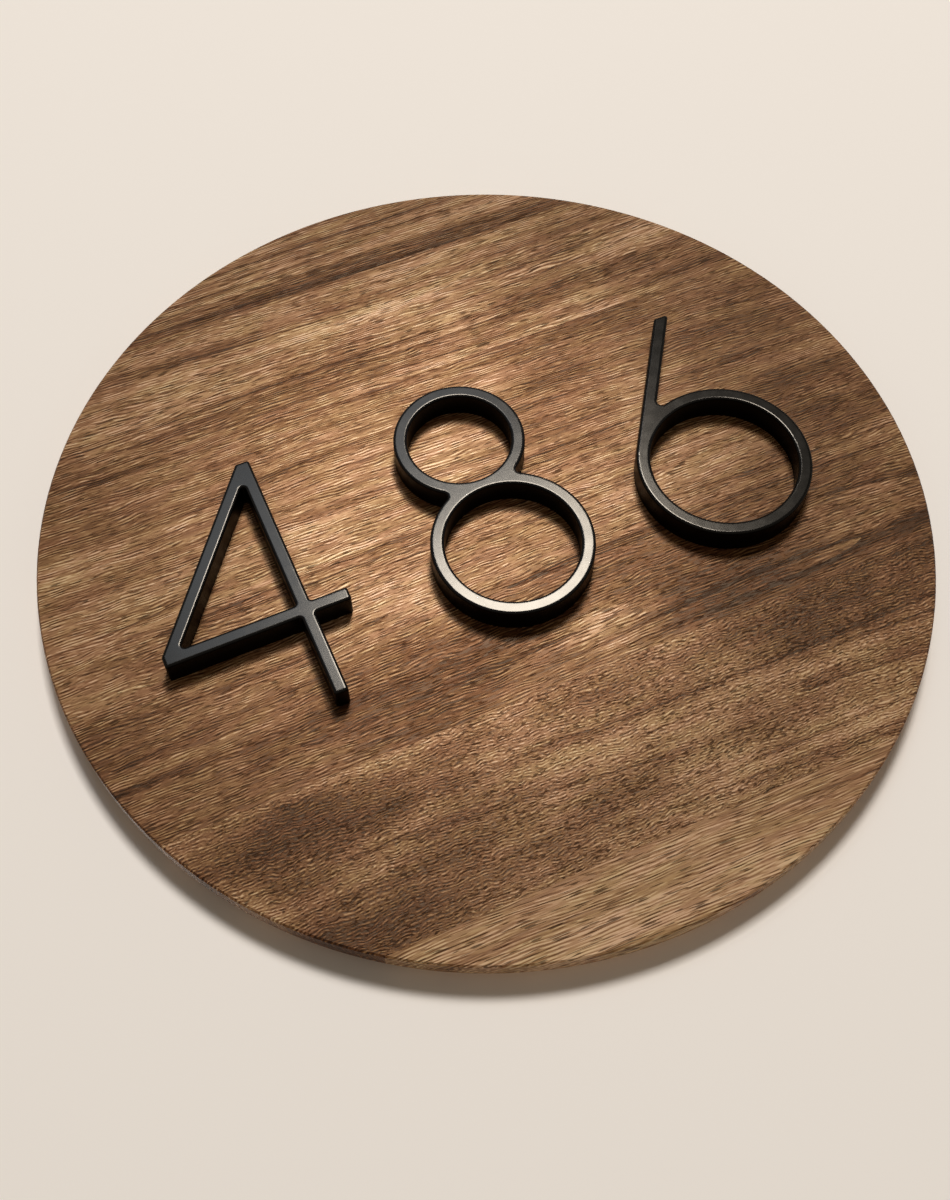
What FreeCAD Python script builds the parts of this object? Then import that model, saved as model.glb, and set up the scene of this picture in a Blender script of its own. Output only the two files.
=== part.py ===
import FreeCAD, Part
import math
import os
import re
import Sketcher

# Round house-number sign: an edge-glued walnut disc that carries the numerals 4, 8 and 6.
#
# Row frame, millimetres: X runs along the numbers, Z is up and the sign faces -Y.
# The origin is the centre of the disc on its back face. The wall is on the +Y side.
# Each numeral is held by threaded studs, washers and nuts sunk into the back of the disc.
# Two raised keyhole plates on the back hang the sign, and four rubber feet hold it off the wall.

doc = FreeCAD.newDocument("HouseNumberSign")
sheet = doc.addObject("Spreadsheet::Sheet", "Sizes")

SIZES = {
    # disc
    "board_radius": 203.0,
    "board_thickness": 10.0,
    "board_arris": 0.8,
    # height of each glue joint between two staves
    "joint_1": -166.0,
    "joint_2": -87.0,
    "joint_3": 10.0,
    "joint_4": 91.0,
    "joint_5": 162.0,
    # numerals
    "numeral_depth": 13.0,
    "stroke": 6.4,
    "rim_round": 1.2,
    "corner_round": 1.3,
    "crotch_round": 2.2,
    # numeral 4, measured from its stem's axis and its foot
    "four_x": -91.9,
    "four_foot": -58.7,
    "four_height": 126.6,
    "four_bar_height": 43.4,
    "four_bar_right": 20.2,
    "four_bar_left": 64.3,
    "four_corner_cut": 5.8,
    "four_upper_stud": 104.0,
    "four_lower_stud": 46.0,
    # numeral 8, measured from its axis and its foot, radii to the middle of the stroke
    "eight_x": 4.1,
    "eight_foot": -57.2,
    "eight_height": 127.3,
    "eight_top_radius": 27.2,
    "eight_bottom_radius": 33.6,
    # numeral 6, measured from its ring's axis and its foot
    "six_x": 110.6,
    "six_foot": -59.8,
    "six_height": 126.2,
    "six_ring_radius": 37.0,
    "six_lean": 33.0,
    "six_low_stud_angle": 33.0,
    # studs, washers and nuts, thread size M3
    "thread_radius": 1.5,
    "thread_gap": 0.02,
    "tapped_depth": 8.5,
    "stud_grip": 8.0,
    "stud_end": 0.5,
    "stud_end_round": 0.2,
    "stud_hole_radius": 1.7,
    "counterbore_radius": 4.5,
    "counterbore_depth": 3.6,
    "washer_radius": 3.5,
    "washer_hole_radius": 1.6,
    "washer_thickness": 0.5,
    "nut_flats": 5.5,
    "nut_thickness": 2.4,
    "nut_chamfer": 0.35,
    # keyhole hanger plates, each a strip with two flanges and a raised middle
    "hanger_x": 90.0,
    "hanger_z": 126.0,
    "hanger_width": 22.0,
    "hanger_length": 64.0,
    "hanger_thickness": 1.6,
    "hanger_rise": 4.8,
    "hanger_middle": 34.0,
    "hanger_bend": 45.0,
    "hanger_bend_round": 0.8,
    "hanger_corner_round": 4.0,
    "entry_radius": 5.0,
    "entry_drop": 6.0,
    "slot_width": 5.0,
    "slot_travel": 12.0,
    "hanger_screw_offset": 27.0,
    # wood screws
    "screw_radius": 1.5,
    "screw_hole_radius": 1.7,
    "screw_tip": 2.2,
    "screw_head_radius": 3.0,
    "screw_head_depth": 1.5,
    "hanger_screw_length": 8.0,
    "pilot_spare": 0.3,
    "cross_length": 3.4,
    "cross_width": 0.8,
    "cross_depth": 0.9,
    # rubber feet
    "foot_x": 126.0,
    "foot_z": 106.0,
    "foot_height": 7.0,
    "foot_base_radius": 7.5,
    "foot_tip_radius": 6.5,
    "foot_edge_round": 0.8,
    "foot_recess_radius": 4.0,
    "foot_recess_depth": 3.2,
    "foot_washer_radius": 3.9,
    "foot_washer_thickness": 0.8,
    "foot_screw_length": 11.0,
    "pan_head_radius": 2.9,
    "pan_head_height": 2.0,
    "pan_head_round": 0.9,
}

for row, (alias, number) in enumerate(SIZES.items(), start=1):
    cell = "B{}".format(row)
    sheet.set(cell, str(number))
    sheet.setAlias(cell, alias)
doc.recompute()

# A primitive turned this way runs from its base towards the front of the sign, along -Y.
TO_FRONT = FreeCAD.Rotation(FreeCAD.Vector(1, 0, 0), 90)
UPRIGHT = FreeCAD.Rotation()
STAVES = 6
SIDES = {"left": "-", "right": ""}
LEVELS = {"lower": "-", "upper": ""}


def size(alias):
    """The sheet's number, for first positions that the constraints then settle."""
    return float(sheet.get(alias))


def formula(text):
    """Turns every alias in a formula into a reference to the sheet."""
    return re.sub(r"[a-z]\w*", lambda word: "Sizes." * (word[0] in SIZES) + word[0], text)


def bind(thing, **sizes):
    """Ties properties of an object to formulas over the sheet's aliases."""
    for name, text in sizes.items():
        thing.setExpression(name, formula(text))
    return thing


def place(thing, x="0", y="0", z="0", turn=UPRIGHT):
    """Turns an object, and ties its position to formulas."""
    thing.Placement = FreeCAD.Placement(FreeCAD.Vector(), turn)
    for axis, text in (("x", x), ("y", y), ("z", z)):
        if text != "0":
            thing.setExpression("Placement.Base." + axis, formula(text))
    return thing


def cylinder(name, radius, length, x, y, z):
    """A round bar or drilling that runs from y towards the front."""
    thing = doc.addObject("Part::Cylinder", name)
    bind(thing, Radius=radius, Height=length)
    return place(thing, x, y, z, TO_FRONT)


def cone(name, first_radius, last_radius, length, x, y, z):
    """A taper that runs from y towards the front."""
    thing = doc.addObject("Part::Cone", name)
    bind(thing, Radius1=first_radius, Radius2=last_radius, Height=length)
    return place(thing, x, y, z, TO_FRONT)


def box(name, width, depth, height, x, y, z):
    """A block whose low corner is at x, y, z."""
    thing = doc.addObject("Part::Box", name)
    bind(thing, Length=width, Width=depth, Height=height)
    return place(thing, x, y, z)


def fuse(name, pieces):
    thing = doc.addObject("Part::MultiFuse", name)
    thing.Shapes = pieces
    return thing


def cut(name, base, tool):
    thing = doc.addObject("Part::Cut", name)
    thing.Base = base
    thing.Tool = tool
    return thing


def common(name, pieces):
    thing = doc.addObject("Part::MultiCommon", name)
    thing.Shapes = pieces
    return thing


def group(name, pieces):
    """Separate solids that share one node."""
    thing = doc.addObject("Part::Compound", name)
    thing.Links = pieces
    return thing


def rounded(name, base, radius, wanted):
    """Rounds those edges of a shape that wanted() picks."""
    doc.recompute()
    thing = doc.addObject("Part::Fillet", name)
    thing.Base = base
    numbered = enumerate(base.Shape.Edges, start=1)
    thing.Edges = [(number, radius, radius) for number, edge in numbered if wanted(edge)]
    return thing


def is_rearmost_rim(base):
    """A test that picks the round edge of a turned shape that lies furthest from the front."""

    def test(edge):
        return edge.isClosed() and edge.BoundBox.YMin > base.Shape.BoundBox.YMax - 0.01

    return test


def beveled(name, base, width):
    """Bevels both round ends of a turned bar."""
    doc.recompute()
    thing = doc.addObject("Part::Chamfer", name)
    thing.Base = base
    numbered = enumerate(base.Shape.Edges, start=1)
    thing.Edges = [(number, width, width) for number, edge in numbered if edge.isClosed()]
    return thing


# ---------------------------------------------------------------- sketches


class Outline:
    """A sketch on a plane of a body, drawn in the body's own x and z unless another plane is named."""

    def __init__(self, body, name, plane="XZ_Plane"):
        self.sketch = body.newObject("Sketcher::SketchObject", name)
        planes = [part for part in body.Origin.OriginFeatures if part.Role == plane]
        self.sketch.AttachmentSupport = [(planes[0], "")]
        self.sketch.MapMode = "FlatFace"

    def line(self, start, end):
        first = FreeCAD.Vector(start[0], start[1], 0)
        last = FreeCAD.Vector(end[0], end[1], 0)
        return self.sketch.addGeometry(Part.LineSegment(first, last), False)

    def circle(self, centre, radius):
        middle = FreeCAD.Vector(centre[0], centre[1], 0)
        ring = Part.Circle(middle, FreeCAD.Vector(0, 0, 1), radius)
        return self.sketch.addGeometry(ring, False)

    def arc(self, centre, start, end):
        """An arc that turns anticlockwise from start to end."""
        middle = FreeCAD.Vector(centre[0], centre[1], 0)
        radius = math.hypot(start[0] - centre[0], start[1] - centre[1])
        low = math.atan2(start[1] - centre[1], start[0] - centre[0])
        high = math.atan2(end[1] - centre[1], end[0] - centre[0])
        if high < low:
            high += 2 * math.pi
        ring = Part.Circle(middle, FreeCAD.Vector(0, 0, 1), radius)
        return self.sketch.addGeometry(Part.ArcOfCircle(ring, low, high), False)

    def rule(self, kind, *where):
        """A constraint with no size, such as Horizontal."""
        self.sketch.addConstraint(Sketcher.Constraint(kind, *where))

    def drawn(self, kind, where):
        """The size that a constraint starts with, read from the lines as drawn."""
        if kind == "Radius":
            return self.sketch.Geometry[where[0]].Radius
        if kind == "Angle":
            run = self.sketch.Geometry[where[0]]
            rise = run.EndPoint - run.StartPoint
            return math.atan2(rise.y, rise.x)
        start = FreeCAD.Vector()
        if len(where) == 4:
            start = self.sketch.getPoint(where[0], where[1])
        step = self.sketch.getPoint(where[-2], where[-1]) - start
        return step.x if kind == "DistanceX" else step.y

    def measure(self, kind, *where, is_size, start=None):
        """A constraint whose size is a formula over the sheet's aliases."""
        if start is None:
            start = self.drawn(kind, where)
        number = self.sketch.addConstraint(Sketcher.Constraint(kind, *where, start))
        self.sketch.setExpression("Constraints[{}]".format(number), formula(is_size))

    def polygon(self, points):
        """A closed run of straight lines. Returns the number of the first line."""
        following = points[1:] + points[:1]
        lines = [self.line(start, end) for start, end in zip(points, following)]
        for this_line, next_line in zip(lines, lines[1:] + lines[:1]):
            self.rule("Coincident", this_line, 2, next_line, 1)
        return lines[0]


def body_of(name, x="0", y="0", z="0", turn=UPRIGHT):
    """A PartDesign body at a place given by formulas."""
    body = doc.addObject("PartDesign::Body", name)
    return place(body, x, y, z, turn)


def pad(body, outline, depth):
    """Material grown square to the sketch, towards the front of the sign if it lies in x and z."""
    feature = body.newObject("PartDesign::Pad", body.Name + "_pad")
    feature.Profile = outline.sketch
    outline.sketch.Visibility = False
    return bind(feature, Length=depth)


def drill_back(body, centres, starts, radius, depth):
    """Blind round holes from a body's back face, at centres given as pairs of formulas."""
    outline = Outline(body, body.Name + "_holes")
    for (x_text, z_text), start in zip(centres, starts):
        ring = outline.circle(start, size("thread_radius"))
        outline.measure("Radius", ring, is_size=radius)
        outline.measure("DistanceX", ring, 3, is_size=x_text)
        outline.measure("DistanceY", ring, 3, is_size=z_text)
    doc.recompute()
    before = body.Shape.Volume
    feature = body.newObject("PartDesign::Pocket", body.Name + "_tapped")
    feature.Profile = outline.sketch
    feature.Reversed = True
    bind(feature, Length=depth)
    doc.recompute()
    if not feature.Shape.Volume < before:
        raise RuntimeError(body.Name + ": the tapped holes removed nothing")


def is_corner(edge, shape):
    """True for a straight edge along the depth where two faces meet at an angle."""
    if edge.Curve.TypeId != "Part::GeomLine":
        return False
    if abs(edge.tangentAt(edge.FirstParameter).y) < 0.999:
        return False
    faces = shape.ancestorsOfType(edge, Part.Face)
    if len(faces) != 2:
        return False
    middle = edge.valueAt((edge.FirstParameter + edge.LastParameter) / 2)
    normals = [face.normalAt(*face.Surface.parameter(middle)) for face in faces]
    return abs(normals[0].dot(normals[1])) < 0.98


def ease(body, name, radius, wanted):
    """Rounds those edges of a body that wanted() picks."""
    doc.recompute()
    base = body.Tip
    shape = base.Shape
    numbered = enumerate(shape.Edges, start=1)
    chosen = ["Edge{}".format(number) for number, edge in numbered if wanted(edge, shape)]
    feature = body.newObject("PartDesign::Fillet", body.Name + "_" + name)
    feature.Base = (base, chosen)
    bind(feature, Radius=radius)
    doc.recompute()
    return feature


def round_rim(body):
    """Rounds every edge of the face that looks away from the board."""
    doc.recompute()
    front = body.Tip.Shape.BoundBox.YMin

    def on_front(edge, shape):
        return abs(edge.BoundBox.YMin - front) < 0.01 and abs(edge.BoundBox.YMax - front) < 0.01

    ease(body, "rim", "rim_round", on_front)


# ---------------------------------------------------------------- numerals

# Each stud's place on its numeral, as formulas in that numeral's own x and z.
RING_CENTRE = "six_ring_radius + stroke / 2"
FOUR_STUDS = [
    ("0", "four_upper_stud"),
    ("-four_lower_stud", "four_bar_height"),
]
EIGHT_STUDS = [
    ("0", "stroke / 2"),
    ("0", "eight_height - stroke / 2"),
]
SIX_STUDS = [
    (
        "-six_ring_radius * cos( six_lean * 1 deg )",
        RING_CENTRE + " + six_ring_radius * sin( six_lean * 1 deg )",
    ),
    (
        "six_ring_radius * cos( six_low_stud_angle * 1 deg )",
        RING_CENTRE + " - six_ring_radius * sin( six_low_stud_angle * 1 deg )",
    ),
]


def numeral_four():
    """Stem, crossbar and diagonal of one width. The body's x is the stem's axis, its z the foot."""
    body = body_of("numeral_4", "four_x", "-board_thickness", "four_foot")
    outline = Outline(body, "numeral_4_outline")
    half = size("stroke") / 2
    top = size("four_height")
    bar = size("four_bar_height")
    left = -size("four_bar_left")
    cut_top = bar - half + size("four_corner_cut")
    corners = [
        (-half, top),
        (left, cut_top),
        (left, bar - half),
        (-half, bar - half),
        (-half, 0),
        (half, 0),
        (half, bar - half),
        (size("four_bar_right"), bar - half),
        (size("four_bar_right"), bar + half),
        (half, bar + half),
        (half, top),
    ]
    first = outline.polygon(corners)
    diagonal, corner_cut, bar_left, stem_low_left, foot, stem_low_right = range(first, first + 6)
    bar_low, bar_end, bar_top, stem_high_right, head = range(first + 6, first + 11)
    for line in (corner_cut, stem_low_left, stem_low_right, bar_end, stem_high_right):
        outline.rule("Vertical", line)
    for line in (bar_left, foot, bar_low, bar_top, head):
        outline.rule("Horizontal", line)
    outline.measure("DistanceX", foot, 1, is_size="-stroke / 2")
    outline.measure("DistanceX", foot, 2, is_size="stroke / 2")
    outline.rule("Vertical", stem_low_left, 1, diagonal, 1)
    outline.rule("Vertical", stem_low_right, 2, stem_high_right, 1)
    outline.rule("Horizontal", stem_low_left, 1, stem_low_right, 2)
    outline.rule("Horizontal", -1, 1, foot, 1)
    outline.measure("DistanceY", head, 1, is_size="four_height")
    outline.measure("DistanceY", bar_low, 1, is_size="four_bar_height - stroke / 2")
    outline.measure("DistanceY", bar_top, 1, is_size="four_bar_height + stroke / 2")
    outline.measure("DistanceX", bar_end, 1, is_size="four_bar_right")
    outline.measure("DistanceX", corner_cut, 1, is_size="-four_bar_left")
    outline.measure("DistanceY", corner_cut, 2, corner_cut, 1, is_size="four_corner_cut")

    slope = math.atan2(top - cut_top, -half - left)
    drop = size("stroke") / math.cos(slope)
    window_left = left + (bar + half - cut_top) / math.tan(slope) + drop / math.tan(slope)
    window = outline.polygon(
        [(-half, top - drop), (window_left, bar + half), (-half, bar + half)]
    )
    outline.rule("Parallel", window, diagonal)
    outline.rule("Horizontal", window + 1)
    outline.rule("Vertical", window + 2)
    outline.rule("Vertical", window, 1, foot, 1)
    outline.rule("Horizontal", window, 2, bar_top, 1)
    outline.measure("Distance", window, 1, diagonal, is_size="stroke", start=size("stroke"))

    pad(body, outline, "numeral_depth")
    ease(body, "corners", "corner_round", is_corner)
    starts = [(0, size("four_upper_stud")), (-size("four_lower_stud"), bar)]
    drill_back(body, FOUR_STUDS, starts, "thread_radius + thread_gap", "tapped_depth")
    round_rim(body)
    return body


def towards(start, end, share):
    """The point part of the way from start to end."""
    return tuple(first + (last - first) * share for first, last in zip(start, end))


def numeral_eight():
    """Two rings that run into each other. The body's x is their axis, its z the foot."""
    body = body_of("numeral_8", "eight_x", "-board_thickness", "eight_foot")
    outline = Outline(body, "numeral_8_outline")
    half = size("stroke") / 2
    crotch = size("crotch_round")
    low = size("eight_bottom_radius")
    high = size("eight_top_radius")
    low_centre = (0, low + half)
    high_centre = (0, size("eight_height") - high - half)
    # each crotch arc's centre is one arc radius outside both rings
    gap = high_centre[1] - low_centre[1]
    low_reach = low + half + crotch
    high_reach = high + half + crotch
    rise = (gap ** 2 + low_reach ** 2 - high_reach ** 2) / (2 * gap)
    aside = math.sqrt(low_reach ** 2 - rise ** 2)
    touches = {}
    for side, sign in (("left", -1), ("right", 1)):
        centre = (sign * aside, low_centre[1] + rise)
        on_low = towards(low_centre, centre, (low + half) / low_reach)
        on_high = towards(high_centre, centre, (high + half) / high_reach)
        touches[side] = (centre, on_low, on_high)
    left_centre, left_low, left_high = touches["left"]
    right_centre, right_low, right_high = touches["right"]

    low_outer = outline.arc(low_centre, left_low, right_low)
    right_crotch = outline.arc(right_centre, right_high, right_low)
    high_outer = outline.arc(high_centre, right_high, left_high)
    left_crotch = outline.arc(left_centre, left_low, left_high)
    low_inner = outline.circle(low_centre, low - half)
    high_inner = outline.circle(high_centre, high - half)
    outline.rule("Tangent", low_outer, 2, right_crotch, 2)
    outline.rule("Tangent", right_crotch, 1, high_outer, 1)
    outline.rule("Tangent", high_outer, 2, left_crotch, 2)
    outline.rule("Tangent", left_crotch, 1, low_outer, 1)
    outline.measure("Radius", right_crotch, is_size="crotch_round")
    outline.measure("Radius", left_crotch, is_size="crotch_round")
    for outer, inner, radius in (
        (low_outer, low_inner, "eight_bottom_radius"),
        (high_outer, high_inner, "eight_top_radius"),
    ):
        outline.rule("Coincident", outer, 3, inner, 3)
        outline.measure("DistanceX", outer, 3, is_size="0")
        outline.measure("Radius", outer, is_size=radius + " + stroke / 2")
        outline.measure("Radius", inner, is_size=radius + " - stroke / 2")
    outline.measure("DistanceY", low_outer, 3, is_size="eight_bottom_radius + stroke / 2")
    top_centre = "eight_height - eight_top_radius - stroke / 2"
    outline.measure("DistanceY", high_outer, 3, is_size=top_centre)

    pad(body, outline, "numeral_depth")
    starts = [(0, half), (0, size("eight_height") - half)]
    drill_back(body, EIGHT_STUDS, starts, "thread_radius + thread_gap", "tapped_depth")
    round_rim(body)
    return body


def numeral_six():
    """A ring with a straight stem that leaves it on a tangent. The body's x is the ring's axis."""
    body = body_of("numeral_6", "six_x", "-board_thickness", "six_foot")
    outline = Outline(body, "numeral_6_outline")
    stroke = size("stroke")
    middle = size("six_ring_radius")
    crotch = size("crotch_round")
    outer = middle + stroke / 2
    centre = (0, outer)
    lean = math.radians(size("six_lean"))
    along = (math.sin(lean), math.cos(lean))
    across = (math.cos(lean), -math.sin(lean))
    top = size("six_height")

    def from_ring(rightwards, upwards):
        """A point given across and along the stem from the ring's centre."""
        return tuple(
            start + rightwards * side + upwards * ahead
            for start, side, ahead in zip(centre, across, along)
        )

    touch = from_ring(-outer, 0)
    tip_left = (touch[0] + (top - touch[1]) * math.tan(lean), top)
    tip_right = (tip_left[0] + stroke / math.cos(lean), top)
    # the crotch arc's centre is one arc radius outside the ring and beside the stem
    beside = stroke - outer + crotch
    reach = outer + crotch
    crotch_centre = from_ring(beside, math.sqrt(reach ** 2 - beside ** 2))
    crotch_on_ring = towards(centre, crotch_centre, outer / reach)
    crotch_on_stem = from_ring(beside - crotch, math.sqrt(reach ** 2 - beside ** 2))

    ring = outline.arc(centre, touch, crotch_on_ring)
    corner = outline.arc(crotch_centre, crotch_on_stem, crotch_on_ring)
    stem_left = outline.line(touch, tip_left)
    tip = outline.line(tip_left, tip_right)
    stem_right = outline.line(tip_right, crotch_on_stem)
    hole = outline.circle(centre, middle - stroke / 2)
    outline.rule("Tangent", ring, 1, stem_left, 1)
    outline.rule("Coincident", stem_left, 2, tip, 1)
    outline.rule("Coincident", tip, 2, stem_right, 1)
    outline.rule("Tangent", stem_right, 2, corner, 1)
    outline.rule("Tangent", corner, 2, ring, 2)
    outline.rule("Coincident", ring, 3, hole, 3)
    outline.rule("Horizontal", tip)
    outline.rule("Parallel", stem_left, stem_right)
    outline.measure("DistanceX", ring, 3, is_size="0")
    outline.measure("DistanceY", ring, 3, is_size="six_ring_radius + stroke / 2")
    outline.measure("Radius", ring, is_size="six_ring_radius + stroke / 2")
    outline.measure("Radius", hole, is_size="six_ring_radius - stroke / 2")
    outline.measure("Radius", corner, is_size="crotch_round")
    outline.measure("Angle", stem_left, is_size="( 90 - six_lean ) * 1 deg")
    outline.measure("DistanceY", tip, 1, is_size="six_height")
    outline.measure("Distance", stem_left, 1, stem_right, is_size="stroke", start=stroke)

    pad(body, outline, "numeral_depth")
    ease(body, "corners", "corner_round", is_corner)
    low_angle = math.radians(size("six_low_stud_angle"))
    low_stud = (middle * math.cos(low_angle), outer - middle * math.sin(low_angle))
    starts = [from_ring(-middle, 0), low_stud]
    drill_back(body, SIX_STUDS, starts, "thread_radius + thread_gap", "tapped_depth")
    round_rim(body)
    return body


# ---------------------------------------------------------------- numeral fixings

NUMERALS = {
    "numeral_4": ("four_x", "four_foot", FOUR_STUDS),
    "numeral_8": ("eight_x", "eight_foot", EIGHT_STUDS),
    "numeral_6": ("six_x", "six_foot", SIX_STUDS),
}
WASHER_BACK = "-counterbore_depth + washer_thickness"
NUT_BACK = WASHER_BACK + " + nut_thickness"


def stud_places(numeral):
    """Pairs of formulas in the row frame, one for each stud of a numeral."""
    axis, foot, studs = NUMERALS[numeral]
    return [("{} + {}".format(axis, x), "{} + {}".format(foot, z)) for x, z in studs]


def all_stud_places():
    return [spot for numeral in NUMERALS for spot in stud_places(numeral)]


def ring(name, outer, inner, thickness, x, y, z):
    """A flat washer whose back is at y."""
    disc = cylinder(name + "_disc", outer, thickness, x, y, z)
    hole = cylinder(name + "_hole", inner, thickness, x, y, z)
    return cut(name, disc, hole)


def stud(name, x, z):
    """A threaded rod from the nut to the bottom of the numeral's tapped hole."""
    length = "board_thickness + stud_grip - stud_end"
    rod = cylinder(name + "_rod", "thread_radius", length, x, "-stud_end", z)
    return rounded(name, rod, size("stud_end_round"), lambda edge: edge.isClosed())


def studs(numeral):
    spots = enumerate(stud_places(numeral), start=1)
    name = "studs_" + numeral
    return group(name, [stud("{}_{}".format(name, count), x, z) for count, (x, z) in spots])


def nut(name, x, z):
    """A hexagon nut with both faces chamfered, and a bore that just clears the stud."""
    prism = doc.addObject("Part::Prism", name + "_prism")
    prism.Polygon = 6
    bind(prism, Circumradius="nut_flats / 2 / cos( 30 deg )", Height="nut_thickness")
    place(prism, x, NUT_BACK, z, TO_FRONT)
    corner = "nut_flats / 2 / cos( 30 deg )"
    turned = cylinder(name + "_turned", corner, "nut_thickness", x, NUT_BACK, z)
    chamfered = beveled(name + "_chamfered", turned, size("nut_chamfer"))
    blank = common(name + "_blank", [prism, chamfered])
    bore = cylinder(
        name + "_bore", "thread_radius + thread_gap", "nut_thickness", x, NUT_BACK, z
    )
    return cut(name, blank, bore)


def nuts():
    spots = enumerate(all_stud_places(), start=1)
    return group("stud_nuts", [nut("stud_nut_{}".format(count), x, z) for count, (x, z) in spots])


def washers():
    made = []
    for count, (x, z) in enumerate(all_stud_places(), start=1):
        name = "stud_washer_{}".format(count)
        sizes = ("washer_radius", "washer_hole_radius", "washer_thickness")
        made.append(ring(name, *sizes, x, WASHER_BACK, z))
    return group("stud_washers", made)


# ---------------------------------------------------------------- screws


def cross_recess(name, x, y, z):
    """The two crossed slots of a screw's head, sunk from y."""
    bars = []
    for bar, width, height in (
        ("level", "cross_length", "cross_width"),
        ("upright", "cross_width", "cross_length"),
    ):
        corner_x = "{} - {} / 2".format(x, width)
        corner_y = "{} - cross_depth".format(y)
        corner_z = "{} - {} / 2".format(z, height)
        sides = (width, "2 * cross_depth", height)
        bars.append(box(name + "_" + bar, *sides, corner_x, corner_y, corner_z))
    return fuse(name, bars)


def countersunk_screw(name, x, z):
    """A wood screw whose head lies flush with the plate's flange."""
    top = "hanger_thickness"
    head = cone(name + "_head", "screw_head_radius", "screw_radius", "screw_head_depth", x, top, z)
    core = cylinder(name + "_core", "screw_radius", "hanger_screw_length - screw_tip", x, top, z)
    tip_start = "hanger_thickness - hanger_screw_length + screw_tip"
    tip = cone(name + "_tip", "screw_radius", "0", "screw_tip", x, tip_start, z)
    blank = fuse(name + "_blank", [head, core, tip])
    return cut(name, blank, cross_recess(name + "_cross", x, top, z))


def pan_screw(name, x, z):
    """A pan-head wood screw that clamps a rubber foot through its washer."""
    top = FOOT_SEAT + " + pan_head_height"
    head = cylinder(name + "_head", "pan_head_radius", "pan_head_height", x, top, z)
    domed = rounded(name + "_dome", head, size("pan_head_round"), is_rearmost_rim(head))
    core = cylinder(
        name + "_core", "screw_radius", "foot_screw_length - screw_tip", x, FOOT_SEAT, z
    )
    tip_start = FOOT_SEAT + " - foot_screw_length + screw_tip"
    tip = cone(name + "_tip", "screw_radius", "0", "screw_tip", x, tip_start, z)
    blank = fuse(name + "_blank", [domed, core, tip])
    return cut(name, blank, cross_recess(name + "_cross", x, top, z))


# ---------------------------------------------------------------- keyhole hangers

ENTRY_Z = "hanger_z - entry_drop"
HANGER_TOP = "hanger_rise + hanger_thickness"


def hanger_spots():
    """A side's name and the formula for its x, for each of the two plates."""
    return [(side, sign + "hanger_x") for side, sign in SIDES.items()]


def screw_heights():
    """A level's name and the formula for its z, for the two screws of a plate."""
    return [
        ("lower", "hanger_z - hanger_screw_offset"),
        ("upper", "hanger_z + hanger_screw_offset"),
    ]


def hanger_profile(body):
    """The bent strip seen from its edge, in the body's y and z: flange, rise, middle, rise, flange."""
    outline = Outline(body, body.Name + "_profile", "YZ_Plane")
    bend = math.radians(size("hanger_bend"))
    run = size("hanger_rise") / math.tan(bend)
    shift = size("hanger_thickness") * math.tan(bend / 2)
    run_text = "hanger_rise / tan( hanger_bend * 1 deg )"
    shift_text = "hanger_thickness * tan( hanger_bend / 2 * 1 deg )"
    middle = size("hanger_middle") / 2
    end = size("hanger_length") / 2
    thickness = size("hanger_thickness")
    rise = size("hanger_rise")
    # corners of the upper half, with each one's height as a formula
    inner = [
        (rise, middle, "hanger_rise", "hanger_middle / 2"),
        (0, middle + run, "0", "hanger_middle / 2 + " + run_text),
        (0, end, "0", "hanger_length / 2"),
    ]
    outer = [
        (thickness, end, "hanger_thickness", "hanger_length / 2"),
        (
            thickness,
            middle + run + shift,
            "hanger_thickness",
            "hanger_middle / 2 + {} + {}".format(run_text, shift_text),
        ),
        (
            rise + thickness,
            middle + shift,
            HANGER_TOP,
            "hanger_middle / 2 + " + shift_text,
        ),
    ]
    upper = inner + outer
    lower = [(y, -z, y_text, "-( {} )".format(z_text)) for y, z, y_text, z_text in reversed(upper)]
    corners = upper + lower
    first = outline.polygon([(y, z) for y, z, _, _ in corners])
    for line, (_, _, y_text, z_text) in enumerate(corners, start=first):
        outline.measure("DistanceX", line, 1, is_size=y_text)
        outline.measure("DistanceY", line, 1, is_size=z_text)
    return outline


def bent_strip(name, x):
    """The hanger's strip before it is pierced: bent, with round bends and rounded flange corners."""
    body = body_of(name, x, "0", "hanger_z")
    strip = pad(body, hanger_profile(body), "hanger_width")
    strip.Midplane = True
    top = size("hanger_rise") + size("hanger_thickness")
    end = size("hanger_length") / 2

    def runs_across(edge):
        return abs(edge.tangentAt(edge.FirstParameter).x) > 0.999

    def at_bend(edge, heights):
        """True for an edge across the strip at one of the given y, away from the strip's ends."""
        box = edge.BoundBox
        is_level = any(abs(box.YMin - height) < 0.01 for height in heights)
        return runs_across(edge) and is_level and abs(box.ZMin) < end - 1

    inside = (size("hanger_thickness"), size("hanger_rise"))
    ease(body, "inside_bends", "hanger_bend_round", lambda edge, _: at_bend(edge, inside))
    outside_round = "hanger_bend_round + hanger_thickness"
    ease(body, "outside_bends", outside_round, lambda edge, _: at_bend(edge, (0, top)))
    ease(body, "flange_corners", "hanger_corner_round", is_corner)
    return body


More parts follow.
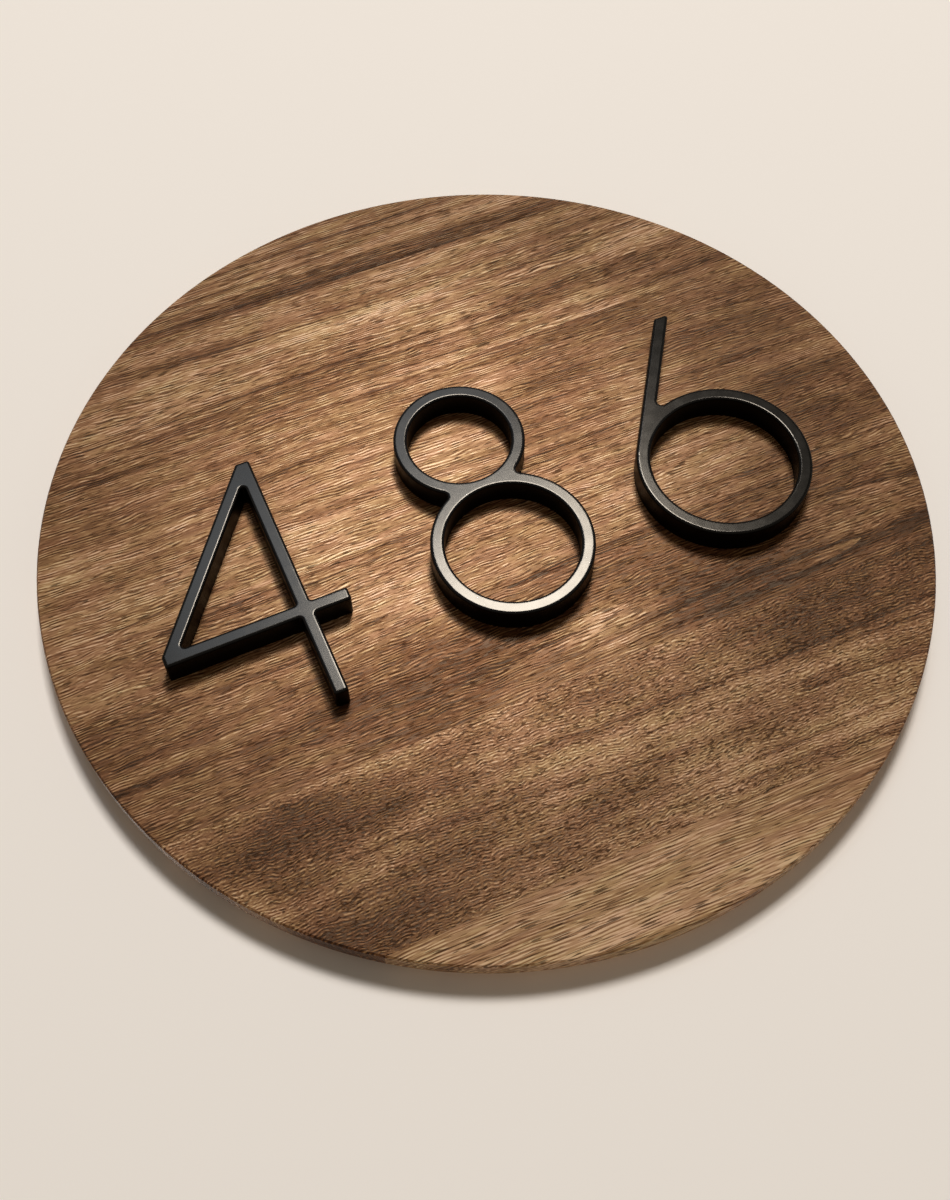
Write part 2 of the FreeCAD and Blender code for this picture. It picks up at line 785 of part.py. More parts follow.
def hanger(side, x):
    """A bent steel plate with a round entry, a slot above it and a countersunk hole in each flange."""
    name = "hanger_" + side
    depth = "hanger_thickness"
    entry = cylinder(name + "_entry", "entry_radius", depth, x, HANGER_TOP, ENTRY_Z)
    slot = box(
        name + "_slot",
        "slot_width",
        depth,
        "slot_travel",
        "{} - slot_width / 2".format(x),
        "hanger_rise",
        ENTRY_Z,
    )
    seat_z = ENTRY_Z + " + slot_travel"
    seat = cylinder(name + "_seat", "slot_width / 2", depth, x, HANGER_TOP, seat_z)
    openings = [entry, slot, seat]
    for level, z in screw_heights():
        hole = "{}_hole_{}".format(name, level)
        openings.append(cylinder(hole, "screw_hole_radius", depth, x, depth, z))
        sink = ("screw_head_radius + thread_gap", "screw_radius + thread_gap", "screw_head_depth")
        openings.append(cone(hole + "_sink", *sink, x, depth, z))
    return cut(name, bent_strip(name + "_strip", x), fuse(name + "_openings", openings))


def hanger_screws():
    made = []
    for side, x in hanger_spots():
        for level, z in screw_heights():
            made.append(countersunk_screw("hanger_screw_{}_{}".format(side, level), x, z))
    return group("hanger_screws", made)


# ---------------------------------------------------------------- rubber feet

FOOT_FLOOR = "foot_height - foot_recess_depth"
FOOT_SEAT = FOOT_FLOOR + " + foot_washer_thickness"


def foot_spots():
    """A name and two formulas for each of the four feet."""
    return [
        ("{}_{}".format(level, side), x_sign + "foot_x", z_sign + "foot_z")
        for level, z_sign in LEVELS.items()
        for side, x_sign in SIDES.items()
    ]


def rubber_foot(spot, x, z):
    """A tapered foot with a stepped hole for its washer and screw."""
    name = "foot_" + spot
    radii = ("foot_tip_radius", "foot_base_radius")
    taper = cone(name + "_taper", *radii, "foot_height", x, "foot_height", z)
    eased = rounded(name + "_eased", taper, size("foot_edge_round"), is_rearmost_rim(taper))
    hole = cylinder(name + "_hole", "screw_hole_radius", "foot_height", x, "foot_height", z)
    recess = cylinder(
        name + "_recess", "foot_recess_radius", "foot_recess_depth", x, "foot_height", z
    )
    return cut(name, eased, fuse(name + "_openings", [hole, recess]))


def foot_washers():
    made = []
    for spot, x, z in foot_spots():
        sizes = ("foot_washer_radius", "screw_hole_radius", "foot_washer_thickness")
        made.append(ring("foot_washer_" + spot, *sizes, x, FOOT_SEAT, z))
    return group("foot_washers", made)


def foot_screws():
    made = [pan_screw("foot_screw_" + spot, x, z) for spot, x, z in foot_spots()]
    return group("foot_screws", made)


# ---------------------------------------------------------------- board


def board_blank():
    """The turned disc, with both arrises eased."""
    disc = cylinder("disc", "board_radius", "board_thickness", "0", "0", "0")
    return beveled("blank", disc, size("board_arris"))


def stud_drillings():
    """A clearance hole and a counterbore for each stud."""
    made = []
    for count, (x, z) in enumerate(all_stud_places(), start=1):
        name = "stud_drilling_{}".format(count)
        made.append(cylinder(name, "stud_hole_radius", "board_thickness", x, "0", z))
        sunk = (name + "_sunk", "counterbore_radius", "counterbore_depth")
        made.append(cylinder(*sunk, x, "0", z))
    return made


def hanger_drillings():
    """A pilot hole for each screw of the two plates."""
    depth = "hanger_screw_length - hanger_thickness + pilot_spare"
    return [
        cylinder("pilot_{}_{}".format(side, level), "screw_radius + thread_gap", depth, x, "0", z)
        for side, x in hanger_spots()
        for level, z in screw_heights()
    ]


def foot_drillings():
    """A pilot hole under each rubber foot."""
    depth = "foot_screw_length - ( {} ) + pilot_spare".format(FOOT_SEAT)
    return [
        cylinder("foot_pilot_" + spot, "screw_radius + thread_gap", depth, x, "0", z)
        for spot, x, z in foot_spots()
    ]


def stave(number, blank, drillings):
    """One walnut stave: the strip of the disc between two glue joints, drilled from behind."""
    low = "joint_{}".format(number - 1) if number > 1 else "-1.1 * board_radius"
    high = "joint_{}".format(number) if number < STAVES else "1.1 * board_radius"
    name = "stave_{}".format(number)
    strip = box(
        name + "_strip",
        "2.2 * board_radius",
        "3 * board_thickness",
        "{} - ( {} )".format(high, low),
        "-1.1 * board_radius",
        "-2 * board_thickness",
        low,
    )
    planed = common(name + "_planed", [blank, strip])
    return cut(name, planed, drillings)


# ---------------------------------------------------------------- assembly


def build():
    """Every sub-part, in the order in which the sign goes together."""
    blank = board_blank()
    drillings = fuse("drillings", stud_drillings() + hanger_drillings() + foot_drillings())
    parts = [stave(number, blank, drillings) for number in range(1, STAVES + 1)]
    parts += [numeral_four(), numeral_eight(), numeral_six()]
    parts += [studs(numeral) for numeral in NUMERALS]
    parts += [washers(), nuts()]
    parts += [hanger(side, x) for side, x in hanger_spots()]
    parts.append(hanger_screws())
    parts += [rubber_foot(*spot) for spot in foot_spots()]
    parts += [foot_washers(), foot_screws()]
    doc.recompute()
    return parts


def check(parts):
    """Stops if any object of the document failed, or if a sub-part has no sound shape."""
    failed = [thing.Name for thing in doc.Objects if {"Invalid", "Error"} & set(thing.State)]
    if failed:
        raise RuntimeError("these objects failed: " + ", ".join(failed))
    for part in parts:
        if part.Shape.isNull() or not part.Shape.isValid() or not part.Shape.Solids:
            raise RuntimeError(part.Label + " has no sound solid")


def write(parts):
    """One STEP file for each sub-part, named by its label."""
    os.makedirs("parts", exist_ok=True)
    for part in parts:
        part.Shape.exportStep("parts/{}.step".format(part.Label))
        print("{}: {} solids, {:.1f} cm3".format(
            part.Label, len(part.Shape.Solids), part.Shape.Volume / 1000))


sub_parts = build()
check(sub_parts)
write(sub_parts)
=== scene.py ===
import math

import bpy
from mathutils import Matrix, Vector


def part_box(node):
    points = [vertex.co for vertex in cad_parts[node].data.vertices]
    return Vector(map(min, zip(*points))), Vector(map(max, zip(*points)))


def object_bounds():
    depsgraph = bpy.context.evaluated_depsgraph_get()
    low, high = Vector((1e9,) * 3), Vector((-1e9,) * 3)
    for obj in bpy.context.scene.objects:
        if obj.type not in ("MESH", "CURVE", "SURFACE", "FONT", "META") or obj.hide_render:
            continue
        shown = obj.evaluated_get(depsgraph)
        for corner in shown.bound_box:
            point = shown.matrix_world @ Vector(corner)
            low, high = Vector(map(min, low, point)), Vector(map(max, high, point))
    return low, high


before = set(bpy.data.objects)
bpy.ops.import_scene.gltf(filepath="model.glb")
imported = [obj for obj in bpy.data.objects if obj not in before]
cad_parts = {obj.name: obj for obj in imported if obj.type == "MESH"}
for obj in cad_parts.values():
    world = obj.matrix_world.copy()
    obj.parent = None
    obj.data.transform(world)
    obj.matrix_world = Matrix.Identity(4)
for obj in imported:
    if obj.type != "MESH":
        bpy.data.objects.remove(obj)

# A round walnut house-number sign with three black numerals, hung just clear of a plain pale wall.
# Metres, in the row frame: X along the numerals, Z up, the sign faces -Y.

CAD_LOW, CAD_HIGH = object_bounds()
MM = 0.001
RADIUS = (CAD_HIGH.x - CAD_LOW.x) / 2
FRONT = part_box("stave_3")[0].y
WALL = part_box("foot_upper_left")[1].y


# ---------------------------------------------------------------- shader building

# How far one more seed moves a noise, along each axis.
SEED_STEPS = (3.1, 7.7, 5.3)


class Shader:
    """One material's nodes. Wherever a value is asked for, a socket or a plain number will do.

    x, y and z are the place of the point being shaded, in metres in the row frame.
    """

    def __init__(self, name):
        self.material = bpy.data.materials.new(name)
        self.material.use_nodes = True
        self.tree = self.material.node_tree
        self.surface = self.tree.nodes["Principled BSDF"]
        self.x, self.y, self.z = self.node("SeparateXYZ", self.node("TexCoord").outputs["Object"]).outputs

    def feed(self, socket, value):
        """Links a socket to another, or sets its number."""
        if isinstance(value, bpy.types.NodeSocket):
            self.tree.links.new(value, socket)
        else:
            socket.default_value = value

    def node(self, kind, *values, **settings):
        """A node whose inputs take the values in order. Its settings are set before that."""
        made = self.tree.nodes.new("ShaderNode" + kind)
        for setting, value in settings.items():
            setattr(made, setting, value)
        for socket, value in zip(made.inputs, values):
            self.feed(socket, value)
        return made

    def set(self, **values):
        """Sets the surface's own sockets. Underscores stand for spaces."""
        for name, value in values.items():
            self.feed(self.surface.inputs[name.replace("_", " ")], value)

    def math(self, operation, first, second=0.0):
        return self.node("Math", first, second, operation=operation).outputs[0]

    def chain(self, operation, values):
        """Joins values by one operation, in order."""
        total = values[0]
        for value in values[1:]:
            total = self.math(operation, total, value)
        return total

    def add(self, *terms):
        return self.chain("ADD", terms)

    def times(self, *factors):
        return self.chain("MULTIPLY", factors)

    def minus(self, first, second):
        return self.math("SUBTRACT", first, second)

    def squares(self, first, second):
        """The sum of two squares."""
        return self.add(self.math("POWER", first, 2.0), self.math("POWER", second, 2.0))

    def swing(self, value, reach):
        """Turns a value about a half into one about nought, that reaches so far each way."""
        return self.times(self.minus(value, 0.5), 2 * reach)

    def turned(self, axis):
        """How squarely the surface faces along X, Y or Z: nought edge on, one full on."""
        normal = self.node("NewGeometry").outputs["Normal"]
        return self.math("ABSOLUTE", self.node("SeparateXYZ", normal).outputs[axis])

    def noise(self, place, waves, seed, detail=2.0, roughness=0.5):
        """Noise over a place, with so many waves per metre along each axis. A seed moves it elsewhere."""
        moved = self.node("Mapping", self.node("CombineXYZ", *place).outputs[0], vector_type="POINT")
        moved.inputs["Scale"].default_value = waves
        moved.inputs["Location"].default_value = [seed * step for step in SEED_STEPS]
        made = self.node("TexNoise")
        self.feed(made.inputs["Vector"], moved.outputs[0])
        made.inputs["Scale"].default_value = 1.0
        made.inputs["Detail"].default_value = detail
        made.inputs["Roughness"].default_value = roughness
        return made.outputs["Fac"]

    def solid(self, waves, seed, **texture):
        """Noise that is fixed in the piece. Waves are one number, or one for each axis."""
        if not isinstance(waves, tuple):
            waves = (waves, waves, waves)
        return self.noise((self.x, self.y, self.z), waves, seed, **texture)

    def between(self, value, low, high, to_low=0.0, to_high=1.0):
        """A smooth step from one level to another while the value goes from low to high."""
        made = self.node("MapRange", value, low, high, to_low, to_high)
        made.interpolation_type = "SMOOTHSTEP"
        return made.outputs[0]

    def ramp(self, value, stops, interpolation="LINEAR"):
        """A colour or grey for each stretch of the value. Stops are (position, grey or colour)."""
        made = self.node("ValToRGB", value)
        made.color_ramp.interpolation = interpolation
        while len(made.color_ramp.elements) < len(stops):
            made.color_ramp.elements.new(1.0)
        for element, (position, shade) in zip(made.color_ramp.elements, stops):
            element.position = position
            colour = shade if isinstance(shade, tuple) else (shade, shade, shade)
            element.color = (*colour, 1.0)
        return made.outputs["Color"]

    def mix(self, share, first, second, blend="MIX"):
        """Blends two colours. A Mix node keeps its colours in its seventh and eighth sockets."""
        made = self.node("Mix", data_type="RGBA", blend_type=blend)
        self.feed(made.inputs[0], share)
        for socket, colour in zip(made.inputs[6:8], (first, second)):
            self.feed(socket, (*colour, 1.0) if isinstance(colour, tuple) else colour)
        return made.outputs[2]

    def bump(self, height, distance, strength, below=None):
        """Shades a height as relief, over the normal that another node gives."""
        made = self.node("Bump")
        made.inputs["Strength"].default_value = strength
        made.inputs["Distance"].default_value = distance
        self.feed(made.inputs["Height"], height)
        if below is not None:
            self.feed(made.inputs["Normal"], below)
        return made.outputs[0]


def rgb(red, green, blue):
    """A colour given as it looks on a screen, 0 to 255, as the linear light that shaders use."""

    def linear(level):
        share = level / 255
        return share / 12.92 if share <= 0.04045 else ((share + 0.055) / 1.055) ** 2.4

    return tuple(linear(level) for level in (red, green, blue))


# ---------------------------------------------------------------- walnut

# Heartwood from its darkest figure to its palest.
WALNUT_TONES = [
    (0.0, rgb(42, 19, 7)),
    (0.22, rgb(73, 41, 20)),
    (0.42, rgb(104, 68, 41)),
    (0.60, rgb(131, 95, 65)),
    (0.80, rgb(162, 127, 93)),
    (1.0, rgb(198, 168, 136)),
]
PORE = rgb(38, 20, 9)
SHEEN = rgb(255, 232, 200)
# The heartwood's colour is multiplied by a mix of these.
WARM_TINT = (1.03, 0.955, 0.98)
OLIVE_TINT = (0.99, 1.01, 0.89)

# Each stave is sawn from its own board, so each has its own figure. Lengths are in disc radii.
# crinkle: nought for long straight fibres, one for short wavy ones.
# stripes: how strongly the growth rings show as long fine lines.
# seed: which part of each noise the stave takes. slope: how steeply its grain falls to the right.
# pith: how far the tree's centre line lies from the stave, above it and behind it.
# tones: (height, tone). patches: (x, height, half length, half height, change of tone).
STAVE_LOOKS = {
    "stave_1": dict(
        crinkle=0.05, stripes=0.10, seed=11, slope=0.02, pith=(-1.9, 0.6),
        tones=[(-1.0, 0.86), (-0.92, 0.82), (-0.86, 0.75), (-0.82, 0.77)],
        patches=[(-0.12, -0.95, 0.12, 0.05, 0.12), (-0.45, -0.85, 0.15, 0.04, -0.14)],
    ),
    "stave_2": dict(
        crinkle=0.9, stripes=0.06, seed=23, slope=0.035, pith=(0.9, 0.35),
        tones=[(-0.82, 0.48), (-0.74, 0.50), (-0.64, 0.58), (-0.55, 0.54), (-0.43, 0.52)],
        patches=[
            (-0.40, -0.74, 0.40, 0.06, -0.14),
            (0.60, -0.47, 0.26, 0.10, -0.26),
            (-0.66, -0.54, 0.24, 0.08, -0.25),
            (0.12, -0.50, 0.20, 0.08, 0.04),
            (0.25, -0.77, 0.40, 0.05, 0.16),
            (-0.02, -0.72, 0.10, 0.05, -0.12),
            (-0.80, -0.65, 0.08, 0.05, 0.16),
        ],
    ),
    "stave_3": dict(
        crinkle=0.45, stripes=0.06, seed=5, slope=0.012, pith=(-1.4, 0.5),
        tones=[(-0.43, 0.44), (-0.36, 0.42), (-0.2, 0.50), (-0.08, 0.60), (0.05, 0.64)],
        patches=[
            (0.55, -0.07, 0.22, 0.03, 0.08),
            (-0.30, -0.28, 0.20, 0.12, -0.14),
            (0.42, -0.36, 0.26, 0.06, -0.17),
            (0.90, 0.0, 0.16, 0.10, -0.20),
            (0.16, -0.35, 0.10, 0.05, 0.24),
            (0.76, -0.36, 0.10, 0.05, 0.12),
            (-0.60, 0.0, 0.40, 0.05, -0.06),
        ],
    ),
    "stave_4": dict(
        crinkle=0.35, stripes=0.08, seed=41, slope=0.02, pith=(1.8, 0.8),
        tones=[(0.05, 0.60), (0.10, 0.62), (0.2, 0.56), (0.32, 0.56), (0.447, 0.54)],
        patches=[
            (-0.80, 0.12, 0.22, 0.05, 0.06),
            (-0.75, 0.36, 0.26, 0.06, -0.08),
            (0.75, 0.28, 0.32, 0.10, -0.16),
            (0.30, 0.22, 0.12, 0.14, -0.16),
            (0.20, 0.35, 0.08, 0.04, 0.12),
            (-0.92, 0.26, 0.12, 0.05, 0.14),
            (0.88, 0.06, 0.18, 0.05, -0.32),
            (0.88, 0.14, 0.14, 0.02, 0.10),
        ],
    ),
    "stave_5": dict(
        crinkle=0.3, stripes=0.10, seed=67, slope=0.01, pith=(2.1, 0.7),
        tones=[(0.447, 0.54), (0.58, 0.54), (0.61, 0.66), (0.69, 0.62), (0.72, 0.53), (0.8, 0.57)],
        patches=[
            (0.40, 0.46, 0.30, 0.05, 0.10),
            (0.80, 0.52, 0.20, 0.05, -0.14),
            (0.72, 0.65, 0.12, 0.05, 0.14),
            (0.40, 0.56, 0.20, 0.04, -0.12),
            (-0.15, 0.57, 0.14, 0.06, -0.10),
            (-0.62, 0.62, 0.16, 0.10, 0.12),
            (-0.35, 0.44, 0.18, 0.04, -0.10),
            (0.21, 0.56, 0.08, 0.04, 0.20),
            (-0.45, 0.71, 0.16, 0.012, -0.14),
        ],
    ),
    "stave_6": dict(
        crinkle=0.2, stripes=0.18, seed=83, slope=0.006, pith=(2.6, 0.4),
        tones=[(0.8, 0.44), (0.86, 0.52), (0.93, 0.54), (1.0, 0.66)],
        patches=[(0.0, 0.83, 0.5, 0.02, -0.08), (-0.34, 0.90, 0.20, 0.06, 0.14)],
    ),
}


# Noise fixed in the board, in waves per metre along the stave, front to back and up.
WANDER = (3.2, 3.2, 9.0)
RIPPLE = (60.0, 60.0, 52.0)
CLOUDS = (9.0, 9.0, 22.0)
BLOTCHES = (20.0, 20.0, 36.0)
CURL = (110.0, 110.0, 40.0)
HUE = (45.0, 45.0, 180.0)
# Noise that follows the growth rings, in waves per metre along the stave and across its rings.
BANDS = (1.6, 95.0)
STRIPES = (3.0, 210.0)
SEASONS = (1.3, 46.0)
STRONG_SEASONS = (3.0, 60.0)
CROWDING = (6.0, 150.0)
# Noise drawn out along the fibres, in waves per metre across them.
THREADS = 1300.0
PORES = 1500.0
DRIFT = 150.0
FADE = 500.0
# Waves per metre along the fibres, where they are straight, and what full crinkle adds.
STRAIGHT_FIBRES = 90.0
CRINKLED_FIBRES = 330.0
# Lines per metre that the strands draw across the rings, and how many lines the drift moves them by.
STRANDS = 800.0
STRAND_DRIFT = 3.0
# How many seasons one wave of their noise makes, and how sharply each ends in its dark line.
SEASONS_IN_WAVE = 9.0
LATE_SHARPNESS = 7.0
# Where a patch has faded away, as a square of its half length or half height.
PATCH_END = 2.2


class Board(Shader):
    """One stave's walnut, as solid grain: figure and pores run along X, rings show on the end grain."""

    def __init__(self, name):
        super().__init__("walnut_" + name)
        self.look = STAVE_LOOKS[name]
        self.seed = self.look["seed"]
        self.crinkle = self.look["crinkle"]
        self.low, self.high = (corner.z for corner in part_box(name))
        self.fibre_waves = STRAIGHT_FIBRES + CRINKLED_FIBRES * self.crinkle ** 2
        self.level = self.find_level()
        self.ring = self.find_ring()

    def find_level(self):
        """The height at which the fibre here would lie, if the grain didn't wander up and down."""
        ripple_reach = (0.4 + 1.2 * self.crinkle ** 2) * MM
        return self.add(
            self.z,
            self.times(self.x, self.look["slope"]),
            self.swing(self.solid(WANDER, self.seed), reach=9 * MM),
            self.swing(self.solid(RIPPLE, self.seed), reach=ripple_reach),
        )

    def find_ring(self):
        """How far the point lies from the tree's centre line."""
        pith_height, pith_depth = (share * RADIUS for share in self.look["pith"])
        above = self.minus(self.level, (self.low + self.high) / 2 + pith_height)
        behind = self.minus(self.y, pith_depth)
        return self.math("SQRT", self.squares(above, behind))

    def ringed(self, waves, shift=0, **texture):
        """Noise that follows the growth rings. A shift makes it another noise than the stave's first."""
        return self.noise((self.x, self.ring, 0.0), (*waves, 1.0), self.seed + shift, **texture)

    def drawn(self, waves, shift=0, stretch=1.0, **texture):
        """Noise drawn out along the fibres."""
        scales = (stretch * self.fibre_waves, waves, waves)
        return self.noise((self.x, self.y, self.level), scales, self.seed + shift, **texture)

    def threads(self):
        """Single fibres, pale and dark."""
        return self.between(self.drawn(THREADS, detail=2.0, roughness=0.6), 0.44, 0.56)

    def strands(self):
        """Bundles of fibres: fine even lines that drift, and fade in and out, from minus one to one."""
        drift = self.drawn(DRIFT, shift=2, stretch=0.35, detail=1.0)
        cycles = self.add(self.times(self.ring, STRANDS), self.times(drift, STRAND_DRIFT))
        fade = self.drawn(FADE, shift=4, stretch=1.3, detail=1.0)
        lines = self.math("SINE", self.times(cycles, 2 * math.pi))
        return self.times(lines, self.between(fade, 0.36, 0.62))

    def pores(self):
        """Short dark dashes along the grain, dots on the end grain."""
        crowding = self.swing(self.ringed(CROWDING, shift=11), reach=0.12)
        return self.between(self.add(self.drawn(PORES, shift=9, detail=1.0), crowding), 0.60, 0.66)

    def late_wood(self):
        """A thin line where each season's growth ends, stronger in some years than in others."""
        seasons = self.times(self.ringed(SEASONS, shift=3, detail=1.5), SEASONS_IN_WAVE)
        late = self.math("POWER", self.math("FRACT", seasons), LATE_SHARPNESS)
        strong = self.between(self.ringed(STRONG_SEASONS, shift=5), 0.4, 0.65)
        return self.times(late, strong)

    def patch(self, middle_x, middle_z, half_length, half_height, change):
        """A soft oval where the wood is darker or paler."""
        across = self.math("DIVIDE", self.minus(self.x, middle_x * RADIUS), half_length * RADIUS)
        up = self.math("DIVIDE", self.minus(self.z, middle_z * RADIUS), half_height * RADIUS)
        return self.between(self.squares(across, up), 0.0, PATCH_END, change, 0.0)

    def ground_tone(self):
        """The stave's own tone from its lower joint to its upper."""
        depth = self.high - self.low
        stops = [((share * RADIUS - self.low) / depth, tone) for share, tone in self.look["tones"]]
        return self.ramp(self.math("DIVIDE", self.minus(self.level, self.low), depth), stops, "EASE")

    def figure(self, threads, strands):
        """How pale the wood is, from nought to one, from broad bands down to single fibres."""
        bands = self.ringed(BANDS, detail=3.0, roughness=0.6)
        stripes = self.between(self.ringed(STRIPES, detail=3.0, roughness=0.6), 0.36, 0.64)
        clouds = self.solid(CLOUDS, self.seed, detail=3.0)
        blotches = self.solid(BLOTCHES, self.seed + 6, detail=4.0, roughness=0.6)
        curl = self.solid(CURL, self.seed + 7)
        pale = self.add(
            self.ground_tone(),
            self.swing(bands, reach=0.14),
            self.swing(stripes, reach=self.look["stripes"]),
            self.swing(threads, reach=0.09),
            self.times(strands, 0.31 + 0.06 * self.crinkle),
            self.swing(clouds, reach=0.12 + 0.07 * self.crinkle),
            self.swing(self.between(blotches, 0.40, 0.60), reach=0.03 + 0.07 * self.crinkle),
            self.swing(curl, reach=0.07),
            *[self.patch(*spot) for spot in self.look["patches"]],
        )
        late_line = self.times(self.late_wood(), 0.52)
        # end grain drinks more oil
        oiled = self.between(self.turned("X"), 0.25, 0.95, 0.0, 0.16)
        return self.minus(self.minus(pale, late_line), oiled)


def walnut(name):
    """Oiled walnut for one stave."""
    board = Board(name)
    threads, strands, pores = board.threads(), board.strands(), board.pores()
    colour = board.ramp(board.figure(threads, strands), WALNUT_TONES)
    hue = board.solid(HUE, board.seed + 13, detail=3.0)
    tint = board.mix(board.between(hue, 0.3, 0.7), WARM_TINT, OLIVE_TINT)
    colour = board.mix(1.0, colour, tint, "MULTIPLY")
    board.set(Base_Color=board.mix(board.times(pores, 0.72), colour, PORE))
    board.set(Specular_IOR_Level=0.24, Specular_Tint=(*SHEEN, 1.0))
    board.set(Roughness=board.add(0.46, board.swing(threads, reach=0.06), board.times(pores, 0.2)))
    relief = board.minus(board.times(board.add(threads, strands), 0.4), pores)
    board.set(Normal=board.bump(relief, 0.12 * MM, 0.8))
    return board.material


# ---------------------------------------------------------------- other materials
# Each texture is solid(waves per metre, seed).


def black_enamel():
    """Semi-gloss black on cast metal, with faint orange peel, slow waves and dull smears."""
    shader = Shader("black_enamel")
    peel = shader.solid(420.0, 2, detail=1.0)
    waves = shader.solid(60.0, 4)
    smears = shader.solid(150.0, 6, detail=4.0, roughness=0.65)
    # the faces are polished and the sides are left as cast, rougher and duller; the sides' deeper black is
    # painted shade
    face = shader.between(shader.turned("Y"), 0.35, 0.85)
    polished = shader.mix(smears, rgb(4, 4, 5), rgb(10, 10, 11))
    shader.set(Base_Color=shader.mix(face, rgb(2, 2, 2), polished))
    smooth = shader.between(smears, 0.3, 0.75, 0.15, 0.18)
    cast = shader.times(shader.minus(1.0, face), 0.20)
    shader.set(Roughness=shader.add(smooth, cast))
    shader.set(Specular_IOR_Level=shader.between(face, 0.0, 1.0, 0.05, 0.29))
    shader.set(Specular_Tint=(*rgb(255, 247, 234), 1.0))
    soft_edge = shader.node("Bevel", samples=16)
    soft_edge.inputs["Radius"].default_value = 0.8 * MM
    slow = shader.bump(waves, 0.3 * MM, 0.10, soft_edge.outputs[0])
    shader.set(Normal=shader.bump(peel, 0.006 * MM, 0.12, slow))
    return shader.material


def zinc_plate():
    """Bright zinc on turned and pressed steel, with fine marks and a slight blue and yellow cast."""
    shader = Shader("zinc_plate")
    cast = shader.solid(220.0, 3, detail=3.0)
    marks = shader.solid((900.0, 900.0, 6000.0), 8, detail=3.0)
    blue, plain, yellow = rgb(176, 183, 196), rgb(196, 197, 196), rgb(204, 194, 170)
    shader.set(Base_Color=shader.ramp(cast, [(0.3, blue), (0.55, plain), (0.75, yellow)]))
    shader.set(Metallic=1.0)
    shader.set(Roughness=shader.between(marks, 0.3, 0.7, 0.24, 0.42))
    shader.set(Normal=shader.bump(marks, 0.01 * MM, 0.4))
    return shader.material


def brushed_steel():
    """Pressed plate, brushed along its length, with spangle and a few deeper scratches."""
    shader = Shader("brushed_steel")
    brushing = shader.solid((5200.0, 5200.0, 60.0), 5, detail=3.0)
    scratches = shader.solid((2600.0, 1.0, 35.0), 14, detail=1.0)
    spangle = shader.solid((260.0, 260.0, 180.0), 21)
    shader.set(Base_Color=shader.ramp(spangle, [(0.35, rgb(158, 162, 168)), (0.65, rgb(190, 192, 192))]))
    shader.set(Metallic=1.0)
    brushed = shader.swing(brushing, reach=0.12)
    spangled = shader.swing(spangle, reach=0.08)
    shader.set(Roughness=shader.add(0.30, brushed, spangled))
    relief = shader.minus(brushing, shader.between(scratches, 0.68, 0.74))
    shader.set(Normal=shader.bump(relief, 0.015 * MM, 0.5))
    return shader.material


def black_rubber():
    """Matt moulded rubber, finely pitted and dusty in patches."""
    shader = Shader("black_rubber")
    pits = shader.solid(1600.0, 7, detail=3.0)
    dust = shader.solid(240.0, 12, detail=4.0, roughness=0.7)
    shader.set(Base_Color=shader.mix(shader.between(dust, 0.45, 0.8), rgb(24, 24, 25), rgb(58, 56, 53)))
    shader.set(Roughness=shader.between(dust, 0.3, 0.8, 0.62, 0.85))
    shader.set(Specular_IOR_Level=0.35)
    shader.set(Normal=shader.bump(pits, 0.05 * MM, 0.5))
    return shader.material


def wall_paint():
    """Plain pale wall. It is open from behind, so that the back of the sign can be seen."""
    shader = Shader("wall_paint")
    shader.set(Base_Color=(*rgb(249, 245, 241), 1.0))
    shader.set(Roughness=0.75)
    shader.set(Specular_IOR_Level=0.2)
    open_back = shader.node("BsdfTransparent")
    behind = shader.node("NewGeometry").outputs["Backfacing"]
    either = shader.node("MixShader", behind, shader.surface.outputs[0], open_back.outputs[0])
    output = shader.tree.nodes["Material Output"]
    shader.tree.links.new(either.outputs[0], output.inputs["Surface"])
    return shader.material


def dress(names, material):
    """Gives CAD nodes a material."""
    for name in names:
        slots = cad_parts[name].data.materials
        slots.clear()
        slots.append(material)


def named(start, ends=("",)):
    """The nodes whose names start so, and end in one of these ways."""
    return [name for name in sorted(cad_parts) if name.startswith(start) and name.endswith(ends)]


def dress_sign():
    for name in named("stave_"):
        dress([name], walnut(name))
    dress(named("numeral_"), black_enamel())
    dress(named("stud") + ["hanger_screws", "foot_washers", "foot_screws"], zinc_plate())
    dress(["hanger_left", "hanger_right"], brushed_steel())
    dress(named("foot_", ("_left", "_right")), black_rubber())


# ---------------------------------------------------------------- stage, light and camera


def make_wall():
    """A wide flat wall that the sign's feet touch."""
    half = 30 * RADIUS
    corners = [(-half, WALL, -half), (half, WALL, -half), (half, WALL, half), (-half, WALL, half)]
    mesh = bpy.data.meshes.new("wall")
    mesh.from_pydata(corners, [], [(0, 1, 2, 3)])
    wall = bpy.data.objects.new("wall", mesh)
    bpy.context.scene.collection.objects.link(wall)
    wall.data.materials.append(wall_paint())
    wall.visible_shadow = False


def stand_off(aim, distance, slant):
    """A place so far in front of a point, or behind it if the distance is negative.

    The slant says how far it is to the right and above, as shares of that distance.
    """
    sideways, upwards = (share * abs(distance) for share in slant)
    return aim + Vector((sideways, -distance, upwards))


def hang_light(data, place, aim):
    light = bpy.data.objects.new(data.name, data)
    light.location = place
    light.rotation_euler = (aim - place).to_track_quat("-Z", "Y").to_euler()
    bpy.context.scene.collection.objects.link(light)
    return light


def lamp(name, slant, distance, size, watts, colour, spread=180.0):
    """A soft rectangular lamp that faces the middle of the sign. The spread is in degrees."""
    data = bpy.data.lights.new(name, "AREA")
    data.shape = "RECTANGLE"
    data.size, data.size_y = size
    data.energy = watts
    data.color = colour
    data.spread = math.radians(spread)
    aim = Vector((0.0, FRONT, 0.0))
    hang_light(data, stand_off(aim, distance, slant), aim)


